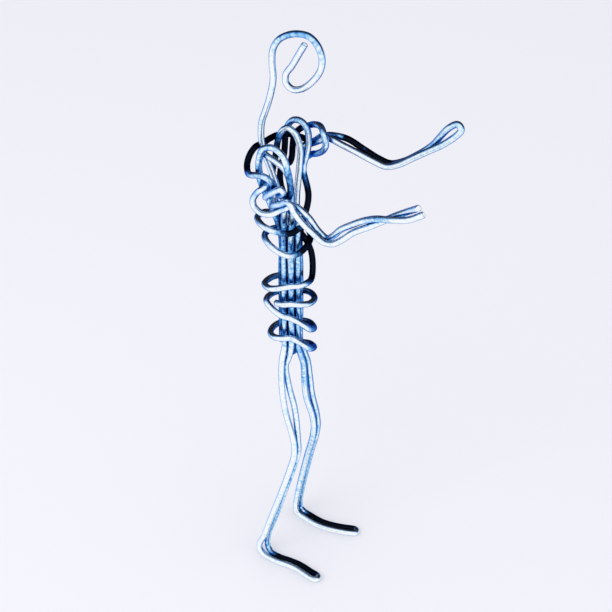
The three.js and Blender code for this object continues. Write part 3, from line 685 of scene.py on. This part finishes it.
for name, first, last, node in (
    ("right_outer_shoulder", "outer_mid_arm", "hook_start", "right_upper_arm_outer"),
    ("right_inner_shoulder", "hook_end", "inner_mid_arm", "right_upper_arm_inner"),
):
    pieces[name] = wire_piece(name, right_wire, first, last)
    bend_along(
        pieces[name], "right_shoulder_bend", UPPER_ARM, *RIGHT_SHOULDER_STRETCH,
        "torso", "right_upper_arm",
    )
    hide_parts(node)

for name, first, last, node in (
    ("left_outer_shoulder", "collar_end", "outer_mid_arm", "left_upper_arm_outer"),
    ("left_inner_shoulder", "inner_mid_arm", "tail_start", "left_upper_arm_inner"),
):
    pieces[name] = wire_piece(name, left_wire, first, last)
    bend_along(
        pieces[name], "left_shoulder_bend", FORWARD, *LEFT_SHOULDER_STRETCH,
        "torso", "left_upper_arm",
    )
    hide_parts(node)

name = "left_hand_hairpin"
pieces[name] = wire_piece(name, left_wire, "outer_mid_arm", "inner_mid_arm")
bend_along(
    pieces[name], "left_elbow_bend", FORWARD, *LEFT_ELBOW_STRETCH, "left_upper_arm", "left_forearm",
)
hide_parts("left_forearm")

for name, wire, first, last, cut, node in (
    ("right_hook", right_wire, "hook_start", "hook_end", [], "right_arm_hook"),
    ("collar", left_wire, "hook_end", "collar_end", ["first"], "collar_wire"),
    ("left_tail", left_wire, "tail_start", "tail_end", ["last"], "left_arm_tail"),
):
    pieces[name] = wire_piece(name, wire, first, last, cut)
    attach(pieces[name], "torso")
    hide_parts(node)

# %% [markdown]
# ## Bindings
# Two lengths of wire are wound round the torso to hold the strands together. Their turns are loose
# and slanted. A winding is written as a few rows of angle, slack over a snug turn, and height, and a
# loop fills in a point every 30 degrees.

# %% Windings round the torso
WINDING_TURN = 36
WINDING_STEP = 30
SNUG = RING_RADIUS + PITCH


def ease(share):
    """A share that starts and ends slowly."""
    return share * share * (3 - 2 * share)


def around(angle, slack, height):
    """A point of a winding, at an angle round the torso."""
    turn = math.radians(angle + WINDING_TURN)
    reach = SNUG + slack
    return Vector((reach * math.cos(turn), reach * math.sin(turn), height))


def winding(level, rows):
    """A wire round the torso, eased from each row to the next."""
    points = []
    for (angle, slack, height), (next_angle, next_slack, next_height) in zip(rows, rows[1:]):
        steps = (next_angle - angle) // WINDING_STEP
        for step in range(steps):
            share = ease(step / steps)
            loose = slack + share * (next_slack - slack)
            rise = height + share * (next_height - height)
            points.append(around(angle + step * WINDING_STEP, loose, level + rise))
    angle, slack, height = rows[-1]
    points.append(around(angle, slack, level + height))
    return Wire().add(points, start=0, stop=-1)


chest = winding(CHEST, [
    (-240, 0.4, -15.6), (-180, 2.6, -15.6), (-90, 0, -13.6), (0, 1.2, -13.4), (30, 1.8, -7.5),
    (60, 0.5, -2.2), (90, 0.5, -1.0), (180, 2.4, -0.6), (270, 0.6, -3.6), (360, 0.8, -1.0),
    (450, 1.1, 2.2), (540, 4.2, 5.0), (630, 1.4, 3.8), (660, 1.0, 5.0),
])
waist = winding(WAIST, [
    (-150, 0.4, 14.4), (-90, 0, 15.2), (0, 1.9, 14.2), (90, 0.2, 13.6), (180, 2.2, 13.4),
    (210, 1.0, 12.2), (270, 0, 10.6), (360, 1.8, 4.4), (450, 0.2, 3.6), (540, 1.2, 3.0),
    (630, 0, 4.1), (720, 1.8, -2.0), (780, 0.9, -3.6),
])
for name, wire, node in (
    ("chest_winding", chest, "chest_binding"),
    ("waist_winding", waist, "waist_binding"),
):
    pieces[name] = wire_piece(name, wire, "start", "stop", ["first", "last"])
    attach(pieces[name], "torso")
    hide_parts(node)

# %% [markdown]
# ## Painted shade and reflections on the wire
# Where strands lie close, the wire is painted blue and then black. This is painted shade, standing in
# for the shade and dark reflections that close strands throw on each other. Blender has a shader node
# for such hidden places, but an exported model can't keep it, so the script measures them itself:
# from every vertex it sends a fan of rays, and weighs how many meet a strand and how close by. Some
# whole stretches are painted dull, blue or black as well, as painted blue and dark reflections. The
# result is an attribute of each mesh, named scale, from 0, bright, to 1, black.

# %% Measure how hidden each place is
RAYS = 40
REACH = 5.0
LIFT = 0.03
GLANCING = 0.1
GOLDEN_TURN = math.pi * (3 - math.sqrt(5))


def fan(count):
    """Directions spread evenly over a ball."""
    directions = []
    for i in range(count):
        height = 1 - 2 * (i + 0.5) / count
        level = math.sqrt(1 - height * height)
        turn = i * GOLDEN_TURN
        directions.append(Vector((level * math.cos(turn), level * math.sin(turn), height)))
    return directions


corners = []
faces = []
for piece in pieces.values():
    first = len(corners)
    corners += [vertex.co.copy() for vertex in piece.data.vertices]
    faces += [[first + corner for corner in polygon.vertices] for polygon in piece.data.polygons]
strands = BVHTree.FromPolygons(corners, faces)
FAN = fan(RAYS)


def hidden_share(place, outward):
    """How much of what a place could see is filled by strands close by."""
    start = place + outward * LIFT * MM
    filled = 0
    seen = 0
    for direction in FAN:
        slant = direction.dot(outward)
        if slant > GLANCING:
            distance = strands.ray_cast(start, direction, REACH * MM)[3]
            seen += slant
            if distance is not None:
                filled += slant * (1 - distance / (REACH * MM)) ** 2
    return filled / seen


print(len(corners), "vertices look around along", RAYS, "directions each")

# %% [markdown]
# A stretch is written as the shares of the piece where it starts and ends, and how much painted
# darkness it has at least. The ends fade, and places between strands add their painted shade to it.

# %% Painted shade in hidden places and painted reflections on whole stretches
# How dark places hidden between strands are painted, and how dark each kind of stretch is painted.
CREVICE_SHADE = 0.7
DULL = 0.08
AZURE = 0.15
BLUE = 0.22
NAVY = 0.36
BLACK = 0.9
SOFT_END = 0.06
PAINTED_STRETCHES = {
    "head_and_spine": [(0.54, 0.7, BLUE)],
    "right_outer_torso": [
        (0.0, 0.24, NAVY), (0.24, 0.56, AZURE), (0.62, 0.73, NAVY), (0.76, 1.0, AZURE),
    ],
    "inner_torso": [
        (0.0, 0.1, AZURE), (0.3, 0.42, NAVY), (0.44, 0.57, NAVY), (0.57, 0.73, BLACK),
        (0.91, 1.0, AZURE),
    ],
    "left_outer_torso": [
        (0.0, 0.15, AZURE), (0.15, 0.25, BLACK), (0.42, 0.6, AZURE), (0.64, 1.0, BLACK),
    ],
    "collar": [(0.37, 0.58, AZURE), (0.6, 0.94, BLACK)],
    "left_tail": [(0.0, 0.7, AZURE), (0.72, 1.0, BLACK)],
    "left_outer_shoulder": [(0.0, 0.6, AZURE), (0.6, 1.0, BLACK)],
    "left_hand_hairpin": [
        (0.0, 0.12, BLACK), (0.1, 0.36, DULL), (0.36, 0.5, AZURE), (0.5, 0.8, DULL),
    ],
    "left_inner_hip": [(0.0, 0.8, AZURE)],
    "left_inner_knee": [(0.5, 1.0, DULL)],
    "left_outer_knee": [(0.0, 0.5, DULL)],
    "right_inner_knee": [(0.0, 0.35, AZURE)],
    "right_inner_elbow": [(0.62, 0.8, AZURE)],
    "right_foot_hairpin": [(0.57, 0.76, BLACK), (0.8, 1.0, AZURE)],
    "left_foot_hairpin": [(0.0, 0.12, DULL), (0.57, 0.74, BLACK), (0.8, 1.0, AZURE)],
    "chest_winding": [
        (0.24, 0.34, BLACK), (0.41, 0.47, NAVY), (0.59, 0.69, BLACK), (0.95, 1.0, BLACK),
    ],
    "waist_winding": [(0.14, 0.2, NAVY), (0.53, 0.6, NAVY), (0.91, 0.97, NAVY)],
}


def paint_shade_on_piece(piece, stretches):
    """Writes the painted shade of each vertex to the mesh as its scale attribute, and returns its
    mean.
    """
    mesh = piece.data
    shares = [item.value for item in mesh.attributes["share"].data]
    values = []
    for vertex, share in zip(mesh.vertices, shares):
        painted_dark = 0
        for first, last, depth in stretches:
            inside = min(share - first, last - share) / SOFT_END + 0.5
            painted_dark = max(painted_dark, depth * min(1, max(0, inside)))
        # Painted shade between strands is added to the painted dark stretch.
        values.append(painted_dark + CREVICE_SHADE * hidden_share(vertex.co, vertex.normal))
    # The attribute named scale carries the painted shade and painted dark reflections.
    mesh.attributes.new("scale", "FLOAT", "POINT").data.foreach_set("value", values)
    return sum(values) / len(values)


for name, piece in pieces.items():
    mean = paint_shade_on_piece(piece, PAINTED_STRETCHES.get(name, []))
    print(f"{name}: {mean:.2f} painted_shade")

# %% [markdown]
# ## Finish
# The wire is drawn steel: bright, a little uneven in gloss, finely pitted and faintly lined along
# its length by the die. A metal shows what is around it, so most of its look is its reflections, and
# the painted shade in the scale attribute sets how much of them comes back: nearly all on bright
# wire, the blue part where blue reflections are painted and almost nothing where black shade is
# painted. Fine noise breaks up the edges between them. A fresh cut is dull and pale, which a shader
# gets by not being a metal there.
#
# A material is a tree of nodes. The same few kinds come up again and again, so each has a helper.

# %% Helpers for shader nodes
def link(tree, source, output, target, socket):
    """Joins an output of one node to a socket of another."""
    tree.links.new(source.outputs[output], target.inputs[socket])


def noise(tree, place, output, scale, detail):
    """Noise over a place."""
    texture = tree.nodes.new("ShaderNodeTexNoise")
    texture.inputs["Scale"].default_value = scale
    texture.inputs["Detail"].default_value = detail
    link(tree, place, output, texture, "Vector")
    return texture


def bump(tree, height, strength, depth):
    """Bumps from noise, with their depth in millimetres."""
    node = tree.nodes.new("ShaderNodeBump")
    node.inputs["Strength"].default_value = strength
    node.inputs["Distance"].default_value = depth * MM
    link(tree, height, "Fac", node, "Height")
    return node


def ramp(tree, tones):
    """A colour ramp from pairs of position and colour."""
    node = tree.nodes.new("ShaderNodeValToRGB")
    stops = node.color_ramp.elements
    stops[0].position, stops[0].color = tones[0]
    stops[1].position, stops[1].color = tones[-1]
    for position, color in tones[1:-1]:
        stops.new(position).color = color
    return node


def remap(tree, source, output, span, target=(0, 1)):
    """Turns a span of values into another."""
    node = tree.nodes.new("ShaderNodeMapRange")
    for end, value in zip(("From Min", "From Max", "To Min", "To Max"), (*span, *target)):
        node.inputs[end].default_value = value
    link(tree, source, output, node, "Value")
    return node


def attribute(tree, name):
    """A value that each vertex of the mesh carries."""
    node = tree.nodes.new("ShaderNodeAttribute")
    node.attribute_name = name
    return node


print(len(pieces), "pieces wait for a finish")

# %% Steel wire
SPECKLES = 1300
SPECKLE_DETAIL = 4
SPECKLE_SPAN = (0.3, 0.7)
UNEVEN = (-0.12, 0.15)
ROUGHNESS = (0.22, 0.45)
PITS = 2600
PIT_DETAIL = 3
PIT_STRENGTH = 0.3
PIT_DEPTH = 0.05
LINES = 2
LINE_DETAIL = 2
LINE_STRETCH = (0.12, 5, 1)
LINE_STRENGTH = 0.08
LINE_DEPTH = 0.03


def steel(name, tones, edge):
    """Steel whose colour follows the painted shade in the scale attribute; tones are pairs of that
    value and colour.
    """
    material = bpy.data.materials.new(name)
    material.use_nodes = True
    tree = material.node_tree
    shader = tree.nodes["Principled BSDF"]
    shader.inputs["Specular Tint"].default_value = edge

    place = tree.nodes.new("ShaderNodeTexCoord")
    # The scale attribute carries painted shade between strands and painted blue and dark reflections.
    scale = attribute(tree, "scale")
    speckle = noise(tree, place, "Object", SPECKLES, SPECKLE_DETAIL)
    uneven = remap(tree, speckle, "Fac", SPECKLE_SPAN, UNEVEN)
    total = tree.nodes.new("ShaderNodeMath")
    total.operation = "ADD"
    link(tree, scale, "Fac", total, 0)
    link(tree, uneven, "Result", total, 1)
    tone = ramp(tree, tones)
    link(tree, total, "Value", tone, "Fac")
    link(tree, tone, "Color", shader, "Base Color")

    worn = remap(tree, attribute(tree, "fresh"), "Fac", (0, 1), (1, 0))
    link(tree, worn, "Result", shader, "Metallic")
    gloss = remap(tree, total, "Value", (0, 1), ROUGHNESS)
    link(tree, gloss, "Result", shader, "Roughness")

    pits = noise(tree, place, "Object", PITS, PIT_DETAIL)
    stretch = tree.nodes.new("ShaderNodeMapping")
    stretch.inputs["Scale"].default_value = LINE_STRETCH
    link(tree, place, "UV", stretch, "Vector")
    lines = noise(tree, stretch, "Vector", LINES, LINE_DETAIL)
    pitted = bump(tree, pits, PIT_STRENGTH, PIT_DEPTH)
    lined = bump(tree, lines, LINE_STRENGTH, LINE_DEPTH)
    link(tree, pitted, "Normal", lined, "Normal")
    link(tree, lined, "Normal", shader, "Normal")
    return material


# From bright steel at 0, the tones paint reflections azure, then blue, navy and black as painted
# shade.
PAINTED_BLACK = (0.006, 0.009, 0.018, 1)
bright_wire = steel("bright_wire", [
    (0.0, (0.96, 0.98, 1.0, 1)), (0.12, (0.74, 0.90, 1.0, 1)), (0.28, (0.17, 0.50, 0.90, 1)),
    (0.45, (0.03, 0.14, 0.40, 1)), (0.66, PAINTED_BLACK),
], (0.22, 0.5, 0.95, 1))
dark_wire = steel("dark_wire", [
    (0.0, (0.92, 0.96, 1.0, 1)), (0.12, (0.66, 0.83, 0.98, 1)), (0.28, (0.15, 0.41, 0.76, 1)),
    (0.43, (0.03, 0.11, 0.30, 1)), (0.62, PAINTED_BLACK),
], (0.16, 0.4, 0.9, 1))
DARK = {"collar", "chest_winding", "waist_winding"}
for name, piece in pieces.items():
    dark = name in DARK
    piece.data.materials.clear()
    piece.data.materials.append(dark_wire if dark else bright_wire)
print(len(pieces), "pieces have their finish")

# %% [markdown]
# ## Floor and light
# A pale floor with soft light makes a plain studio. Metal needs more: it only looks like metal if it
# has something bright and something dark to show. So reflected rays see a wide white window on the
# camera's side, fading through blue into a dark room. They see the floor in the same way, white
# close to the figure and on the camera's side, and blue behind. Other rays see an even pale sky,
# which lights the floor and leaves a soft shadow under the feet.

# %% Helpers for the studio
def vector_math(tree, operation, source, output):
    """A vector operation on one output."""
    node = tree.nodes.new("ShaderNodeVectorMath")
    node.operation = operation
    link(tree, source, output, node, 0)
    return node


def shown_to(tree, kind, shader, others):
    """One shader for a kind of ray, and another for all other rays."""
    ray = tree.nodes.new("ShaderNodeLightPath")
    node = tree.nodes.new("ShaderNodeMixShader")
    link(tree, ray, kind, node, "Fac")
    link(tree, others, 0, node, 1)
    link(tree, shader, 0, node, 2)
    return node


WINDOW_LEAN = 0.25
WINDOW = (Vector((back.x, back.y, 0)).normalized() - WINDOW_LEAN * right).normalized()
PALE = (0.86, 0.86, 0.925, 1)
WHITE = (1, 1, 1, 1)
print("window faces", [round(part, 2) for part in WINDOW])

# %% Floor
FLOOR_HALF = 4
NEAR_FLOOR = 8
FAR_FLOOR = 45
form = bmesh.new()
bmesh.ops.create_grid(form, x_segments=1, y_segments=1, size=FLOOR_HALF)
floor_mesh = bpy.data.meshes.new("floor")
form.to_mesh(floor_mesh)
form.free()
floor = bpy.data.objects.new("floor", floor_mesh)
bpy.context.scene.collection.objects.link(floor)

paper = bpy.data.materials.new("floor")
paper.use_nodes = True
tree = paper.node_tree
shader = tree.nodes["Principled BSDF"]
shader.inputs["Base Color"].default_value = PALE
shader.inputs["Roughness"].default_value = 1
shader.inputs["Specular IOR Level"].default_value = 0
place = tree.nodes.new("ShaderNodeTexCoord")
away = vector_math(tree, "LENGTH", place, "Object")
far = remap(tree, away, "Value", (NEAR_FLOOR * MM, FAR_FLOOR * MM))
outward = vector_math(tree, "NORMALIZE", place, "Object")
facing = vector_math(tree, "DOT_PRODUCT", outward, "Vector")
facing.inputs[1].default_value = WINDOW
turned = remap(tree, facing, "Value", (-1, 1))
lit = tree.nodes.new("ShaderNodeMix")
lit.inputs["A"].default_value = 1
link(tree, far, "Result", lit, "Factor")
link(tree, turned, "Result", lit, "B")
cast = ramp(tree, [
    (0.1, (0.05, 0.16, 0.46, 1)), (0.32, (0.24, 0.54, 0.93, 1)), (0.48, (0.66, 0.86, 1.0, 1)),
    (0.64, WHITE),
])
link(tree, lit, "Result", cast, "Fac")
glow = tree.nodes.new("ShaderNodeEmission")
link(tree, cast, "Color", glow, "Color")
surface = shown_to(tree, "Is Glossy Ray", glow, shader)
link(tree, surface, "Shader", tree.nodes["Material Output"], "Surface")
floor_mesh.materials.append(paper)
print("floor is", 2 * FLOOR_HALF, "m wide")

# %% World
WINDOW_FADE = 0.5
SKY_STRENGTH = 0.925
world = bpy.data.worlds.new("studio")
world.use_nodes = True
bpy.context.scene.world = world
tree = world.node_tree
tree.nodes.clear()
output = tree.nodes.new("ShaderNodeOutputWorld")
place = tree.nodes.new("ShaderNodeTexCoord")
facing = vector_math(tree, "DOT_PRODUCT", place, "Generated")
facing.inputs[1].default_value = WINDOW
turned = remap(tree, facing, "Value", (-WINDOW_FADE, WINDOW_FADE))
room = ramp(tree, [
    (0.08, (0.002, 0.003, 0.006, 1)), (0.32, (0.012, 0.03, 0.09, 1)), (0.55, (0.08, 0.26, 0.6, 1)),
    (0.72, (0.45, 0.70, 0.95, 1)), (0.88, WHITE),
])
link(tree, turned, "Result", room, "Fac")
sky = tree.nodes.new("ShaderNodeBackground")
sky.inputs["Color"].default_value = WHITE
sky.inputs["Strength"].default_value = SKY_STRENGTH
reflected = tree.nodes.new("ShaderNodeBackground")
link(tree, room, "Color", reflected, "Color")
behind = tree.nodes.new("ShaderNodeBackground")
behind.inputs["Color"].default_value = PALE
lighting = shown_to(tree, "Is Glossy Ray", reflected, sky)
surroundings = shown_to(tree, "Is Camera Ray", behind, lighting)
link(tree, surroundings, "Shader", output, "Surface")
print("sky lights the floor with a strength of", SKY_STRENGTH)

# %% Soft lamp
LAMP_SIDE = 0.5
LAMP_DISTANCE = 0.8
LAMP_LEFT = 0.5
LAMP_UP = 0.35
LAMP_WATTS = 1.3
lamp = bpy.data.objects.new("softbox", bpy.data.lights.new("softbox", "AREA"))
lamp.data.shape = "SQUARE"
lamp.data.size = LAMP_SIDE
lamp.data.energy = LAMP_WATTS
lamp.visible_glossy = False
lamp_from = (back - right * LAMP_LEFT + up * LAMP_UP).normalized()
lamp.location = lamp_from * LAMP_DISTANCE
lamp.rotation_mode = "QUATERNION"
lamp.rotation_quaternion = (-lamp_from).to_track_quat("-Z", "Y")
bpy.context.scene.collection.objects.link(lamp)
bpy.context.scene.view_settings.view_transform = "Standard"
print("softbox is", LAMP_SIDE, "m wide")
